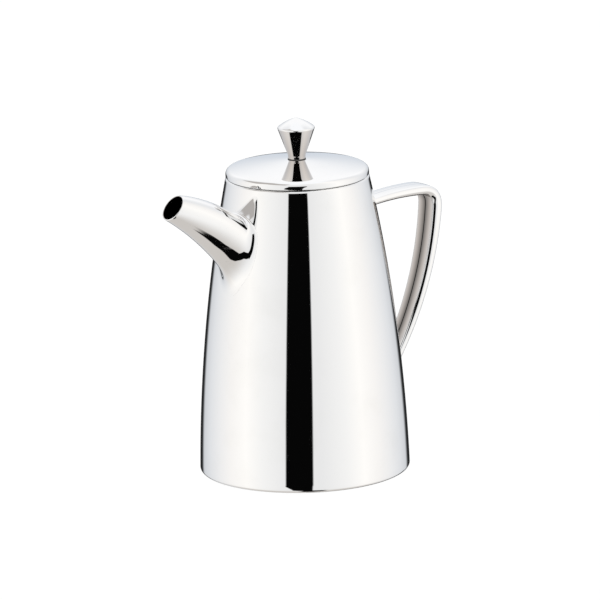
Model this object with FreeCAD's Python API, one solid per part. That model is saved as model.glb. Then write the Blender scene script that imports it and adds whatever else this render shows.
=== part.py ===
import FreeCAD, Part
import math
import os

from FreeCAD import Vector

# Steel coffee pot with a welded base, a curved spout, a hollow handle and a lift-off lid.
# Millimetres, +Z up. The origin lies on the table under the middle of the body.
# The handle reaches along +X and the spout along -X, so the pot is the same on both sides of Y = 0.

# Body
base_radius = 55.7          # outside of the foot, before its edge is rounded
top_radius = 37.8           # outside at the lid seat, before the shoulder is rounded
body_height = 158.6         # table to lid seat
belly = 3.6                 # how far the side swells out of a straight line
body_wall = 1.0
shoulder_round = 4.0
foot_round = 3.0
mouth_radius = 32.0         # hole inside the flat lid seat
foot_flange = 6.5           # width of the wall turned in under the base

# Base plate
base_thickness = 1.2
base_rise = 3.0             # how far the middle is pressed up off the rim
base_rim = 4.5              # flat rim that lies on the turned-in foot
base_slope = 5.0            # width of the step between rim and middle
base_edge_gap = 0.3

# Spout
spout_reach = 82.6          # pot axis to the middle of the mouth
spout_height = 154.4        # table to the middle of the mouth
spout_mouth_length = 15.4   # upper lip to lower lip
spout_cut_angle = 45.0      # tilt of the mouth's face up from vertical, degrees
spout_root_top = 143.0      # table to the point where the upper side meets the wall
spout_root_bottom = 109.0   # table to the point where the underside meets the wall
spout_upper_bow = 2.2       # how far the upper side arches
spout_lower_bow = 3.4       # how far the underside arches
spout_mouth_width = 13.4
spout_middle_width = 22.2
spout_root_width = 27.4
spout_mouth_crown = 0.5     # share of the depth that lies above the widest level, at the mouth
spout_root_crown = 0.32     # the same at the wall
spout_wall = 0.9
spout_hole_height = 128.0   # table to the middle of the hole through the body wall
spout_hole_radius = 9.5
spout_steps = 5             # cross-sections from the mouth to the wall

# Handle
handle_reach = 92.1         # pot axis to the outer side of the corner
handle_height = 140.2       # table to the top of the corner
handle_corner_cut = 7.0     # length of arm and of leg that the rounded corner takes
arm_root_height = 136.1     # table to the middle of the arm's end inside the wall
arm_root_thickness = 3.8
arm_corner_thickness = 5.2
arm_bow = 1.2               # how far the arm arches upwards
leg_corner_thickness = 6.4
leg_foot_height = 36.4      # table to the middle of the leg's end inside the wall
leg_foot_thickness = 4.3
leg_bow = 8.7               # how far the leg swells outwards
handle_root_width = 12.6
handle_corner_width = 15.8
handle_foot_width = 12.4
handle_edge_round = 1.7     # on every long edge, as long as the thickness allows it
handle_round_limit = 0.45   # largest edge round as a share of the thickness
handle_wall = 0.9
weld_depth = 4.0            # how far the ends run on inside the wall before they are trimmed to it
arm_steps = 4               # cross-sections along each stretch
corner_steps = 5
leg_steps = 6

# Lid
lid_radius = 37.8           # widest point of the rim
lid_rim_height = 3.4        # seat of the cover to the top edge of the rim
lid_edge_width = 1.0        # how far the top edge of the rim lies inside its widest point
lid_lower_inset = 1.5       # how far the lower edge of the rim lies inside its widest point
lid_rise = 4.5              # top edge of the rim to the flat land under the knob
lid_crown = 0.3             # how far the slope swells out of a straight cone
lid_wall = 1.0
collar_clearance = 0.5      # collar to mouth, on the radius
collar_depth = 8.0
collar_wall = 1.0
collar_flange = 0.8         # thickness of the flange that rests on the lid seat
collar_flange_inset = 1.8   # flange edge inside the widest point of the rim

# Knob and its fastening
knob_land_radius = 5.6      # flat middle of the lid
knob_washer_radius = 5.0
knob_washer_thickness = 0.7
knob_foot_radius = 4.6
knob_top_radius = 10.0
knob_foot_height = 1.6      # straight stretch above the washer
knob_cone_height = 16.4     # washer to the widest circle
knob_cap_height = 5.2       # widest circle to the tip
knob_edge_round = 1.1
screw_radius = 2.0
screw_clearance = 0.2       # screw to the holes that it passes through
screw_engagement = 8.0      # depth of thread in the knob
screw_tip_gap = 1.0
screw_thread_gap = 0.05
screw_head_radius = 3.8
screw_head_height = 2.4
lock_washer_radius = 4.4
lock_washer_thickness = 0.8

# Heights and radii that follow from the sizes above
cover_seat = body_height + collar_flange
rim_top = cover_seat + lid_rim_height
land_height = rim_top + lid_rise
collar_radius = mouth_radius - collar_clearance
knob_seat = land_height + knob_washer_thickness
screw_hole_radius = screw_radius + screw_clearance
far = base_radius + spout_reach + handle_reach
close = 1e-6                # two heights nearer than this are the same


def bowed(start, end, bow):
    """Arc in the plane Y = 0 from start to end, whose middle stands off the straight line by bow."""
    run = (end - start).normalize()
    left = Vector(0, -1, 0).cross(run)
    return Part.Arc(start, (start + end) * 0.5 + left * bow, end).toShape()


def line(start, end):
    """Straight edge."""
    return Part.makeLine(start, end)


def polyline(*points):
    """Straight edges through the points in order."""
    return [line(start, end) for start, end in zip(points, points[1:])]


def face_of(edges):
    """Flat face inside a closed chain of edges."""
    return Part.Face(Part.Wire(edges))


def turned(edges):
    """Solid of revolution about the pot's axis."""
    return face_of(edges).revolve(Vector(), Vector(0, 0, 1), 360)


def ring(inner, outer, bottom, height):
    """Flat ring or tube about the pot's axis."""
    blank = Part.makeCylinder(outer, height, Vector(0, 0, bottom))
    return blank.cut(Part.makeCylinder(inner, height, Vector(0, 0, bottom)))


def edges_at_height(solid, height):
    """Circular edges that lie flat at a height, without those on the axis."""
    return [edge for edge in solid.Edges
            if abs(edge.BoundBox.ZMin - height) < close and abs(edge.BoundBox.ZMax - height) < close]


def body_form(inset):
    """Closed form of the body, drawn in from the outside by inset."""
    foot = Vector(base_radius - inset, 0, inset)
    top = Vector(top_radius - inset, 0, body_height - inset)
    floor_middle = Vector(0, 0, foot.z)
    top_middle = Vector(0, 0, top.z)
    side = bowed(foot, top, -belly)
    form = turned([line(floor_middle, foot), side, line(top, top_middle), line(top_middle, floor_middle)])
    form = form.makeFillet(shoulder_round - inset, edges_at_height(form, top.z))
    return form.makeFillet(foot_round - inset, edges_at_height(form, foot.z))


def wall_radius(height):
    """Outside radius of the body at a height on its side."""
    foot = Vector(base_radius, 0, 0)
    top = Vector(top_radius, 0, body_height)
    circle = bowed(foot, top, -belly).Curve
    return circle.Center.x + math.sqrt(circle.Radius ** 2 - (height - circle.Center.z) ** 2)


def make_body_shell(outside):
    """Spun wall with a flat lid seat, a turned-in foot and the hole behind the spout."""
    mouth = Part.makeCylinder(mouth_radius, body_height, Vector(0, 0, body_height / 2))
    foot_hole = Part.makeCylinder(base_radius - foot_flange, foot_round)
    spout_hole = Part.makeCylinder(spout_hole_radius, far, Vector(0, 0, spout_hole_height), Vector(-1, 0, 0))
    return outside.cut(body_form(body_wall)).cut(mouth).cut(foot_hole).cut(spout_hole)


def make_base_plate():
    """Pressed disc whose flat rim lies on the turned-in foot."""
    rim = base_radius - foot_round - base_edge_gap
    step = rim - base_rim
    middle = step - base_slope
    low = body_wall
    high = body_wall + base_rise
    return turned(polyline(
        Vector(0, 0, high), Vector(middle, 0, high), Vector(step, 0, low), Vector(rim, 0, low),
        Vector(rim, 0, low + base_thickness), Vector(step, 0, low + base_thickness),
        Vector(middle, 0, high + base_thickness), Vector(0, 0, high + base_thickness), Vector(0, 0, high)))


def mix(start, end, share):
    """Value part of the way from start to end."""
    return start + (end - start) * share


def through(first, middle, last, share):
    """Smooth value that passes through three given values at the start, halfway and at the end."""
    early = first * (1 - share) * (1 - 2 * share)
    late = last * share * (2 * share - 1)
    return early + 4 * middle * share * (1 - share) + late


def along(edge, share):
    """Point of an arc at a share of its length, also past its end."""
    first, last = edge.ParameterRange
    return edge.Curve.value(mix(first, last, share))


def spout_section(upper_line, lower_line, share, inset):
    """Egg-shaped cross-section between the spout's upper side and its underside."""
    top = along(upper_line, share)
    bottom = along(lower_line, share)
    down = (bottom - top).normalize()
    depth = (bottom - top).Length
    crown = depth * mix(spout_mouth_crown, spout_root_crown, share)
    middle = top + down * crown
    half_width = through(spout_mouth_width, spout_middle_width, spout_root_width, share) / 2 - inset
    side = Vector(0, half_width, 0)
    upper = half_ellipse(middle, side, down * (inset - crown))
    lower = half_ellipse(middle, side * -1, down * (depth - crown - inset))
    return Part.Wire([upper, lower])


def half_ellipse(middle, side, tip):
    """Half of an ellipse from middle + side through middle + tip to middle - side."""
    if side.Length >= tip.Length:
        ellipse = Part.Ellipse(middle + side, middle + tip, middle)
        return Part.ArcOfEllipse(ellipse, 0, math.pi).toShape()
    ellipse = Part.Ellipse(middle + tip, middle - side, middle)
    return Part.ArcOfEllipse(ellipse, -math.pi / 2, math.pi / 2).toShape()


def spout_horn(inset):
    """Curved horn from the spout's mouth to inside the body, drawn in by inset."""
    tilt = math.radians(spout_cut_angle)
    half_mouth = Vector(math.sin(tilt), 0, math.cos(tilt)) * (spout_mouth_length / 2)
    mouth = Vector(-spout_reach, 0, spout_height)
    upper_root = Vector(-wall_radius(spout_root_top), 0, spout_root_top)
    lower_root = Vector(-wall_radius(spout_root_bottom), 0, spout_root_bottom)
    upper_line = bowed(mouth + half_mouth, upper_root, spout_upper_bow)
    lower_line = bowed(mouth - half_mouth, lower_root, spout_lower_bow)
    shares = [step / spout_steps for step in range(spout_steps + 2)]
    return Part.makeLoft([spout_section(upper_line, lower_line, share, inset) for share in shares], True, False)


def make_spout(outside):
    """Hollow horn trimmed to the body's side, with a slanted mouth."""
    return spout_horn(0).cut(spout_horn(spout_wall)).cut(outside)


def handle_stretches():
    """Stations of the arm, the corner and the leg: point, direction, width and thickness of each."""
    root = Vector(wall_radius(arm_root_height) - weld_depth, 0, arm_root_height)
    corner = Vector(handle_reach - leg_corner_thickness / 2, 0, handle_height - arm_corner_thickness / 2)
    foot = Vector(wall_radius(leg_foot_height) - weld_depth, 0, leg_foot_height)
    arm_line = bowed(root, corner, arm_bow)
    leg_line = bowed(corner, foot, leg_bow)
    arm = []
    for step in range(arm_steps + 1):
        share = step / arm_steps
        place = arm_line.getParameterByLength((arm_line.Length - handle_corner_cut) * share)
        arm.append((arm_line.valueAt(place), arm_line.tangentAt(place),
                    mix(handle_root_width, handle_corner_width, share),
                    mix(arm_root_thickness, arm_corner_thickness, share)))
    leg = []
    for step in range(leg_steps + 1):
        share = step / leg_steps
        place = leg_line.getParameterByLength(mix(handle_corner_cut, leg_line.Length, share))
        leg.append((leg_line.valueAt(place), leg_line.tangentAt(place),
                    mix(handle_corner_width, handle_foot_width, share),
                    mix(leg_corner_thickness, leg_foot_thickness, share)))
    bend = []
    for step in range(1, corner_steps):
        share = step / corner_steps
        inward = mix(arm[-1][0], corner, share)
        onward = mix(corner, leg[0][0], share)
        bend.append((mix(inward, onward, share), (onward - inward).normalize(), handle_corner_width,
                     mix(arm_corner_thickness, leg_corner_thickness, share)))
    return arm, [arm[-1]] + bend + [leg[0]], leg


def half_channel(point, direction, width, thickness):
    """Cross-section of the left half of the hollow handle, a channel open towards the plane Y = 0."""
    outward = direction.cross(Vector(0, 1, 0))

    def at(across, out):
        return point + Vector(0, across, 0) + outward * out

    def contour(side, top, bend):
        slant = bend * (1 - math.sqrt(0.5))
        upper = Part.Arc(at(side - bend, top), at(side - slant, top - slant), at(side, top - bend))
        lower = Part.Arc(at(side, bend - top), at(side - slant, slant - top), at(side - bend, -top))
        return [line(at(0, top), at(side - bend, top)), upper.toShape(),
                line(at(side, top - bend), at(side, bend - top)), lower.toShape(),
                line(at(side - bend, -top), at(0, -top))]

    bend = min(handle_edge_round, handle_round_limit * thickness)
    top = thickness / 2
    outer = contour(width / 2, top, bend)
    inner = contour(width / 2 - handle_wall, top - handle_wall, bend - handle_wall)
    lower_seam = line(at(0, -top), at(0, handle_wall - top))
    upper_seam = line(at(0, top - handle_wall), at(0, top))
    return Part.Wire(outer + [lower_seam] + inner[::-1] + [upper_seam])


def make_handle_left_half(outside):
    """Pressed left half of the hollow handle, with both ends trimmed to the body's side."""
    arm, bend, leg = [Part.makeLoft([half_channel(*station) for station in stretch], True, False).cut(outside)
                      for stretch in handle_stretches()]
    return arm.fuse([bend, leg])


def lid_form(inset, bottom):
    """Closed form under the lid's outer surface, drawn in by inset, down to a height."""
    land = Vector(knob_land_radius, 0, land_height - inset)
    top_edge = Vector(lid_radius - lid_edge_width - inset, 0, rim_top - inset)
    widest = Vector(lid_radius - inset, 0, rim_top - lid_edge_width - inset)
    lower_edge = Vector(lid_radius - lid_lower_inset - inset, 0, bottom)
    rim = Part.Arc(top_edge, widest, lower_edge).toShape()
    crown = bowed(land, top_edge, lid_crown)
    floor_middle = Vector(0, 0, bottom)
    top_middle = Vector(0, 0, land.z)
    return turned([line(floor_middle, top_middle), line(top_middle, land), crown, rim,
                   line(lower_edge, floor_middle)])


def make_lid_cover():
    """Domed lid with a rounded rim and a hole for the knob's screw."""
    screw_hole = Part.makeCylinder(screw_hole_radius, far)
    return lid_form(0, cover_seat).cut(lid_form(lid_wall, cover_seat)).cut(screw_hole)


def make_lid_collar():
    """Ring with a flange that rests on the lid seat and a wall that drops into the mouth."""
    bore = collar_radius - collar_wall
    wall = ring(bore, collar_radius, body_height - collar_depth, collar_depth + collar_flange)
    flange = ring(bore, lid_radius - collar_flange_inset, body_height, collar_flange)
    return wall.fuse(flange).removeSplitter()


def make_lid_knob():
    """Knob that widens upwards to a low pointed cap, with a blind hole for its screw."""
    foot = knob_seat
    widest = knob_seat + knob_cone_height
    tip = widest + knob_cap_height
    form = turned(polyline(
        Vector(0, 0, foot), Vector(knob_foot_radius, 0, foot), Vector(knob_foot_radius, 0, foot + knob_foot_height),
        Vector(knob_top_radius, 0, widest), Vector(0, 0, tip), Vector(0, 0, foot)))
    form = form.makeFillet(knob_edge_round, edges_at_height(form, widest))
    hole_depth = screw_engagement + screw_tip_gap
    hole = Part.makeCylinder(screw_radius + screw_thread_gap, hole_depth, Vector(0, 0, foot))
    return form.cut(hole)


def make_knob_washer():
    """Thin washer between the knob and the lid."""
    return ring(screw_hole_radius, knob_washer_radius, land_height, knob_washer_thickness)


def make_lock_washer():
    """Washer between the screw's head and the underside of the lid."""
    bottom = land_height - lid_wall - lock_washer_thickness
    return ring(screw_hole_radius, lock_washer_radius, bottom, lock_washer_thickness)


def make_knob_screw():
    """Pan-head screw that comes up through the lid into the knob."""
    head_top = land_height - lid_wall - lock_washer_thickness
    head = Part.makeCylinder(screw_head_radius, screw_head_height, Vector(0, 0, head_top - screw_head_height))
    head = head.makeFillet(screw_head_height / 2, edges_at_height(head, head_top - screw_head_height))
    shank_length = knob_seat + screw_engagement - head_top
    shank = Part.makeCylinder(screw_radius, shank_length, Vector(0, 0, head_top))
    return head.fuse(shank).removeSplitter()


def make_parts():
    """All sub-parts by name."""
    outside = body_form(0)
    handle_left_half = make_handle_left_half(outside)
    return {
        "body_shell": make_body_shell(outside),
        "base_plate": make_base_plate(),
        "spout": make_spout(outside),
        "handle_left_half": handle_left_half,
        "handle_right_half": handle_left_half.mirror(Vector(), Vector(0, 1, 0)),
        "lid_cover": make_lid_cover(),
        "lid_collar": make_lid_collar(),
        "lid_knob": make_lid_knob(),
        "knob_washer": make_knob_washer(),
        "lock_washer": make_lock_washer(),
        "knob_screw": make_knob_screw(),
    }


os.makedirs("parts", exist_ok=True)
for name, shape in make_parts().items():
    print(name, len(shape.Solids), "solid, valid:", shape.isValid(), "volume:", round(shape.Volume, 1))
    shape.exportStep(f"parts/{name}.step")
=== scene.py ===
import logging
import math
from dataclasses import dataclass
from enum import Enum
from typing import Any, Callable, Sequence

import bmesh
import bpy
import numpy as np
from mathutils import Matrix, Vector


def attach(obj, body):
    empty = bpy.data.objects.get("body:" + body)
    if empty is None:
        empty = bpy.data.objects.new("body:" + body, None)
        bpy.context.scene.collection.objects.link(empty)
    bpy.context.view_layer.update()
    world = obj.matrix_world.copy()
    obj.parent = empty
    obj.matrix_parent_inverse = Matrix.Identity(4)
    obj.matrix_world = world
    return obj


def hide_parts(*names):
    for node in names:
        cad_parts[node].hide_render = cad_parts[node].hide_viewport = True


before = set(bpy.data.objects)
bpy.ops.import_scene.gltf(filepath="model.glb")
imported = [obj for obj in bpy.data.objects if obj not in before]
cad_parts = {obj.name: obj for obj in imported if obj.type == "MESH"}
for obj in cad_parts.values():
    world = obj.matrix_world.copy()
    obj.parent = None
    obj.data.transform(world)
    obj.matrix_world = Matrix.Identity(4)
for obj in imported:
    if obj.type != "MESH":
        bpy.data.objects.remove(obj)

LOG = logging.getLogger("coffee_pot")
MM = 0.001
AROUND = 256
# Name of the mesh attribute that carries painted shade: how much the polished steel is darkened, and roughened, at
# each point.
PAINTED_SHADE = "painted_shade"

Pair = tuple[float, float]
Corner = tuple[float, float, float]
Colour = tuple[float, float, float]
Bend = tuple[Pair, Pair]


class Rider(Enum):
    """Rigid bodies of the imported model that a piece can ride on."""

    POT = "pot"
    LID = "lid"


class Slot(Enum):
    """Material slots of the record."""

    POLISHED = "polished_steel"
    SATIN = "satin_steel"
    WASHER = "dark_washer"


class Value:
    """A shader socket that takes part in Python arithmetic, each operator adding one Math node."""

    def __init__(self, graph: "Graph", socket: bpy.types.NodeSocket) -> None:
        """Wraps an output socket of a graph."""
        self.graph = graph
        self.socket = socket

    def maths(self, operation: str, *others: Any) -> "Value":
        """Adds a Math node with this socket first.

        Args:
            operation: Math node operation.
            others: further operands, numbers or values.

        Returns:
            The node's result.
        """
        return self.graph.maths(operation, self, *others)

    def __add__(self, other: Any) -> "Value":
        """self + other."""
        return self.maths("ADD", other)

    def __sub__(self, other: Any) -> "Value":
        """self - other."""
        return self.maths("SUBTRACT", other)

    def __mul__(self, other: Any) -> "Value":
        """self * other."""
        return self.maths("MULTIPLY", other)

    def __truediv__(self, other: Any) -> "Value":
        """self / other."""
        return self.maths("DIVIDE", other)

    def __radd__(self, other: Any) -> "Value":
        """other + self."""
        return self.graph.maths("ADD", other, self)

    def __rsub__(self, other: Any) -> "Value":
        """other - self."""
        return self.graph.maths("SUBTRACT", other, self)

    def __rmul__(self, other: Any) -> "Value":
        """other * self."""
        return self.graph.maths("MULTIPLY", other, self)

    def __rtruediv__(self, other: Any) -> "Value":
        """other / self."""
        return self.graph.maths("DIVIDE", other, self)

    def __abs__(self) -> "Value":
        """Absolute value."""
        return self.maths("ABSOLUTE")


class Graph:
    """Node tree of a material or world, filled through one method."""

    def __init__(self, owner: Any) -> None:
        """Clears a node tree.

        Args:
            owner: the material or world that holds it.
        """
        owner.use_nodes = True
        self.tree = owner.node_tree
        self.tree.nodes.clear()

    def node(self, kind: str, settings: dict[str, Any] | None = None,
             inputs: dict[Any, Any] | None = None) -> bpy.types.Node:
        """Adds one node.

        Args:
            kind: node type, such as ShaderNodeMath.
            settings: properties that are set first; "stops" fills a colour ramp.
            inputs: values or links by socket name or number.

        Returns:
            The new node.
        """
        new = self.tree.nodes.new(kind)
        for name, setting in (settings or {}).items():
            if name == "stops":
                self.fill_ramp(new.color_ramp, setting)
            else:
                setattr(new, name, setting)
        for name, content in (inputs or {}).items():
            link = content.socket if isinstance(content, Value) else content
            if isinstance(link, bpy.types.NodeSocket):
                self.tree.links.new(link, new.inputs[name])
            else:
                new.inputs[name].default_value = content
        return new

    @staticmethod
    def fill_ramp(ramp: bpy.types.ColorRamp, stops: Sequence[tuple[float, Colour]]) -> None:
        """Sets a colour ramp's stops.

        Args:
            ramp: the ramp.
            stops: place from 0 to 1 and colour of each stop, from low to high.
        """
        while len(ramp.elements) < len(stops):
            ramp.elements.new(1.0)
        for element, (place, colour) in zip(ramp.elements, stops):
            element.position = place
            element.color = (*colour, 1.0)

    def maths(self, operation: str, *operands: Any) -> Value:
        """Adds a Math node.

        Args:
            operation: Math node operation.
            operands: numbers or values, in order.

        Returns:
            The node's result.
        """
        made = self.node("ShaderNodeMath", {"operation": operation}, dict(enumerate(operands)))
        return Value(self, made.outputs[0])

    def ease(self, low: float, high: float, value: Value) -> Value:
        """Smooth step of a value.

        Args:
            low: where the step is 0, which may be the larger end.
            high: where it is 1.
            value: the value.

        Returns:
            The step.
        """
        made = self.node("ShaderNodeMapRange", {"interpolation_type": "SMOOTHSTEP"},
                         {"Value": value, "From Min": low, "From Max": high})
        return Value(self, made.outputs[0])

    def scaled(self, value: Value, source: Pair, target: Pair) -> Value:
        """Straight-line map of a value from one range to another, clamped.

        Args:
            value: the value.
            source: its range.
            target: range of the result.

        Returns:
            The result.
        """
        made = self.node("ShaderNodeMapRange", None,
                         {"Value": value, "From Min": source[0], "From Max": source[1],
                          "To Min": target[0], "To Max": target[1]})
        return Value(self, made.outputs[0])

    def mix(self, factor: Any, first: Any, second: Any) -> Value:
        """Mixes two colours.

        Args:
            factor: number or value from 0, the first colour, to 1, the second.
            first: colour or link.
            second: colour or link.

        Returns:
            The mixed colour.
        """
        made = self.node("ShaderNodeMix", {"data_type": "RGBA"},
                         {0: factor, 6: self.opaque(first), 7: self.opaque(second)})
        return Value(self, made.outputs[2])

    @staticmethod
    def opaque(colour: Any) -> Any:
        """Gives a plain colour its alpha and leaves links as they are."""
        return (*colour, 1.0) if isinstance(colour, tuple) else colour

    def noise(self, vector: Any, scale: float, detail: float = 2.0) -> Value:
        """Noise value over a surface.

        Args:
            vector: link to coordinates in metres.
            scale: waves per metre.
            detail: octaves of finer noise.

        Returns:
            Noise from 0 to 1.
        """
        made = self.node("ShaderNodeTexNoise", None, {"Vector": vector, "Scale": scale, "Detail": detail})
        return Value(self, made.outputs[0])

    def bump(self, relief: Value, height: float, strength: float) -> bpy.types.NodeSocket:
        """Normal of a surface with a fine relief, whose full height is given in metres."""
        made = self.node("ShaderNodeBump", None, {"Strength": strength, "Distance": height, "Height": relief})
        return made.outputs[0]


class Finish:
    """A finish of the pot, drawn over a piece's own coordinates."""

    name: str

    def draw(self, graph: Graph, place: bpy.types.NodeSocket) -> dict[str, Any]:
        """Contents of the Principled shader's sockets, at a place on the piece."""
        raise NotImplementedError

    def make(self) -> bpy.types.Material:
        """Builds the material.

        Returns:
            The new material.
        """
        made = bpy.data.materials.new(self.name)
        graph = Graph(made)
        sockets = self.draw(graph, graph.node("ShaderNodeTexCoord").outputs["Object"])
        shader = graph.node("ShaderNodeBsdfPrincipled", None, sockets)
        graph.node("ShaderNodeOutputMaterial", None, {"Surface": shader.outputs[0]})
        return made


@dataclass(frozen=True)
class PolishedSteel(Finish):
    """Mirror-polished stainless steel with faint smudges and the slight waves of pressed sheet.

    Where the mesh's painted-shade attribute says so, such as in the spout's bore, the steel's colour is darkened as
    painted shade, down to near black, and its roughness is raised.
    """

    name: str = "mirror_polished_steel"
    tint: Colour = (0.93, 0.93, 0.93)
    smudge_tint: Colour = (0.905, 0.905, 0.9)
    smudge_scale: float = 38.0
    smudge_edge: Pair = (0.5, 0.75)
    grain_scale: float = 900.0
    roughness: float = 0.025
    smudge_roughness: float = 0.03
    # Colours of painted shade: a darker brown-grey, and near black where the shade is deepest, in the spout's bore
    # and the handle's seam.
    shade_tint: Colour = (0.54, 0.5, 0.47)
    bore_shadow_tint: Colour = (0.02, 0.018, 0.016)
    shade_roughness: float = 0.03
    wave_scale: float = 45.0
    wave_height: float = 0.000012

    def draw(self, graph: Graph, place: bpy.types.NodeSocket) -> dict[str, Any]:
        """Draws smudges, painted shade and waves.

        Args:
            graph: node tree of the material.
            place: link to coordinates in metres.

        Returns:
            Contents of the shader's sockets.
        """
        smudge = graph.ease(*self.smudge_edge, graph.noise(place, self.smudge_scale, 4.0))
        grain = graph.noise(place, self.grain_scale, 3.0)
        # Painted shade from the mesh attribute: its first half darkens the steel to the brown-grey, its second half
        # to near black; it also raises roughness.
        painted_shade = Value(graph, graph.node("ShaderNodeAttribute", {"attribute_name": PAINTED_SHADE}).outputs["Fac"])
        colour = graph.mix(smudge, self.tint, self.smudge_tint)
        colour = graph.mix(graph.scaled(painted_shade, (0.0, 0.5), (0.0, 1.0)), colour, self.shade_tint)
        colour = graph.mix(graph.scaled(painted_shade, (0.5, 1.0), (0.0, 1.0)), colour, self.bore_shadow_tint)
        roughness = self.roughness + self.smudge_roughness * smudge * grain + self.shade_roughness * painted_shade
        waves = graph.noise(place, self.wave_scale, 1.0)
        return {"Base Color": colour, "Metallic": 1.0, "Roughness": roughness,
                "Normal": graph.bump(waves, self.wave_height, 1.0)}


@dataclass(frozen=True)
class SatinSteel(Finish):
    """Satin stainless steel with the concentric lines of a turned and brushed surface."""

    name: str = "satin_brushed_steel"
    tint: Colour = (0.72, 0.72, 0.71)
    line_tint: Colour = (0.6, 0.6, 0.595)
    line_scale: float = 4200.0
    line_stretch: float = 0.002
    line_share: float = 0.6
    stain_scale: float = 55.0
    roughness: float = 0.24
    line_roughness: float = 0.16
    line_height: float = 0.000006

    def draw(self, graph: Graph, place: bpy.types.NodeSocket) -> dict[str, Any]:
        """Draws rings about the pot's axis and faint stains.

        Args:
            graph: node tree of the material.
            place: link to coordinates in metres.

        Returns:
            Contents of the shader's sockets.
        """
        parts = graph.node("ShaderNodeSeparateXYZ", None, {0: place}).outputs
        across, along, height = (Value(graph, part) for part in parts)
        radius = (across * across + along * along).maths("SQRT")
        turn = along.maths("ARCTAN2", across) * self.line_stretch
        rings = graph.node("ShaderNodeCombineXYZ", None, {0: radius, 1: turn, 2: height}).outputs[0]
        lines = graph.noise(rings, self.line_scale, 3.0)
        stain = graph.noise(place, self.stain_scale, 3.0)
        share = lines * self.line_share + stain * (1 - self.line_share)
        return {"Base Color": graph.mix(share, self.tint, self.line_tint), "Metallic": 1.0,
                "Roughness": self.roughness + self.line_roughness * lines,
                "Normal": graph.bump(lines, self.line_height, 0.6)}


@dataclass(frozen=True)
class DarkRubber(Finish):
    """Matt dark sealing rubber with a fine moulded grain."""

    name: str = "dark_sealing_rubber"
    tint: Colour = (0.06, 0.06, 0.06)
    dust_tint: Colour = (0.11, 0.105, 0.1)
    dust_scale: float = 300.0
    dust_edge: Pair = (0.45, 0.8)
    roughness: float = 0.55
    grain_roughness: float = 0.2
    grain_scale: float = 2500.0
    grain_height: float = 0.00003

    def draw(self, graph: Graph, place: bpy.types.NodeSocket) -> dict[str, Any]:
        """Draws grain and dust.

        Args:
            graph: node tree of the material.
            place: link to coordinates in metres.

        Returns:
            Contents of the shader's sockets.
        """
        grain = graph.noise(place, self.grain_scale, 2.0)
        dust = graph.ease(*self.dust_edge, graph.noise(place, self.dust_scale, 3.0))
        return {"Base Color": graph.mix(dust, self.tint, self.dust_tint),
                "Roughness": self.roughness + self.grain_roughness * grain,
                "Normal": graph.bump(grain, self.grain_height, 0.5)}


class Finishes:
    """The pot's finishes by slot, each made once."""

    def __init__(self) -> None:
        """Makes every finish."""
        finishes = {Slot.POLISHED: PolishedSteel(), Slot.SATIN: SatinSteel(), Slot.WASHER: DarkRubber()}
        self.by_slot = {slot: finish.make() for slot, finish in finishes.items()}

    def dress(self, piece: bpy.types.Object, slot: Slot, rider: Rider, *nodes: str) -> bpy.types.Object:
        """Gives a piece its finish, hangs it from its body's empty and hides the solids that it stands for.

        Args:
            piece: the finished object.
            slot: material slot of the record.
            rider: body that it rides on.
            nodes: names of the solids that it replaces.

        Returns:
            The same object.
        """
        piece.data.materials.append(self.by_slot[slot])
        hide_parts(*nodes)
        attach(piece, rider.value)
        LOG.info("%s: %d faces, %s, on %s", piece.name, len(piece.data.polygons), slot.value, rider.value)
        return piece


def arc(start: Pair, end: Pair, bow: float, count: int) -> list[Pair]:
    """Points of a flat arc, without its end.

    Args:
        start: first point.
        end: last point, which isn't returned.
        bow: how far the middle stands off to the right of the way it runs.
        count: number of points.

    Returns:
        Points along the arc.
    """
    first, last = np.array(start), np.array(end)
    chord = last - first
    length = float(np.hypot(*chord))
    right = np.array([chord[1], -chord[0]]) / length
    radius = length * length / (8 * bow) + bow / 2
    half = math.asin(length / 2 / radius)
    centre = (first + last) / 2 + right * (bow - radius)
    points = []
    for step in range(count):
        turn = half * (2 * step / count - 1)
        points.append(tuple(centre + right * radius * math.cos(turn) + chord / length * radius * math.sin(turn)))
    return points


def rounded(corners: Sequence[Corner], closed: bool = True, steps: int = 8) -> list[Pair]:
    """Outline whose corners are replaced by arcs.

    Args:
        corners: radius from the axis, height and corner radius of each corner in millimetres.
        closed: whether the last corner joins the first.
        steps: points on each arc, less one.

    Returns:
        Points of the outline.
    """
    points: list[Pair] = []
    count = len(corners)
    for index, (x, z, radius) in enumerate(corners):
        if radius <= 0 or (not closed and index in (0, count - 1)):
            points.append((x, z))
            continue
        here = Vector((x, z))
        back = (Vector(corners[index - 1][:2]) - here).normalized()
        ahead = (Vector(corners[(index + 1) % count][:2]) - here).normalized()
        half = math.acos(max(-1.0, min(1.0, back.dot(ahead)))) / 2
        reach = radius / math.tan(half)
        centre = here + (back + ahead).normalized() * (radius / math.sin(half))
        first = here + back * reach - centre
        last = here + ahead * reach - centre
        sweep = first.angle_signed(last)
        for step in range(steps + 1):
            turn = -sweep * step / steps
            spoke = Matrix.Rotation(turn, 2) @ first
            points.append((centre.x + spoke.x, centre.y + spoke.y))
    return points


def mesh_object(name: str, points: Sequence[Sequence[float]], faces: Sequence[Sequence[int]],
                painted_shade: Sequence[float] | None = None) -> bpy.types.Object:
    """Smooth-shaded object from points in millimetres.

    Args:
        name: object name.
        points: corners in millimetres.
        faces: corner numbers of each face.
        painted_shade: how much painted shade darkens the steel at each corner, from 0 to 1.

    Returns:
        The new object, in metres.
    """
    mesh = bpy.data.meshes.new(name)
    mesh.from_pydata([tuple(float(part) * MM for part in point) for point in points], [], faces)
    work = bmesh.new()
    work.from_mesh(mesh)
    bmesh.ops.recalc_face_normals(work, faces=work.faces)
    work.to_mesh(mesh)
    work.free()
    mesh.shade_smooth()
    if painted_shade is not None:
        mesh.attributes.new(PAINTED_SHADE, "FLOAT", "POINT").data.foreach_set("value", list(painted_shade))
    made = bpy.data.objects.new(name, mesh)
    bpy.context.scene.collection.objects.link(made)
    return made


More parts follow.
